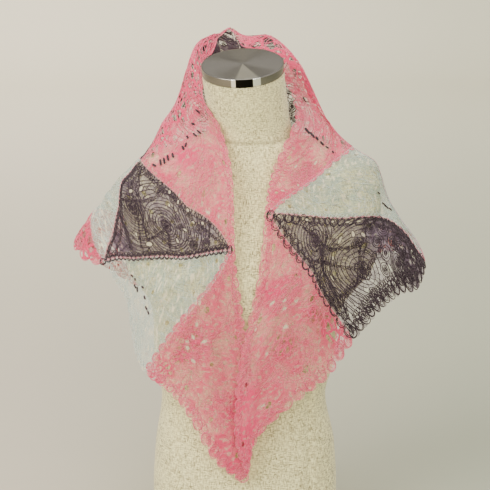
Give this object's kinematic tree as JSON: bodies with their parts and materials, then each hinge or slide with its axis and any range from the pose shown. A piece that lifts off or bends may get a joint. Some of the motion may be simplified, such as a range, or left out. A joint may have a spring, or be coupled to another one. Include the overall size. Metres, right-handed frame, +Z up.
{
  "type": "patchwork lace scarf on a dress form",
  "caption": "Scarf of triangular lace patches in pink, mint and black, worn open round the neck and shoulders of a limbless linen dress form with a steel neck cap.",
  "frame": {"origin": "middle of the dress form's flat base, on its underside", "axes": "+Z up through the form, -Y to the front, where the scarf opens, +X to the viewer's right"},
  "size_m": [0.5009, 0.2538, 0.7227],
  "materials": {
    "pink_lace": "fuzzy mohair-like lace, matt",
    "mint_lace": "sheer pale grey-green lace, matt",
    "black_lace": "sheer black and brown lace, matt",
    "linen": "plain oatmeal linen, matt",
    "steel": "radially brushed"
  },
  "bodies": {
    "root": {"pink_front_left": "pink_lace", "mint_front_left": "mint_lace", "black_front_left": "black_lace", "pink_collar_left": "pink_lace", "black_back_left": "black_lace", "mint_back_left": "mint_lace", "pink_back_left": "pink_lace", "pink_back_right": "pink_lace", "mint_back_right": "mint_lace", "black_back_right": "black_lace", "pink_collar_right": "pink_lace", "mint_front_right": "mint_lace", "black_front_right": "black_lace", "pink_front_right": "pink_lace", "form_body": "linen", "neck_cap": "steel"}
  },
  "joints": []
}
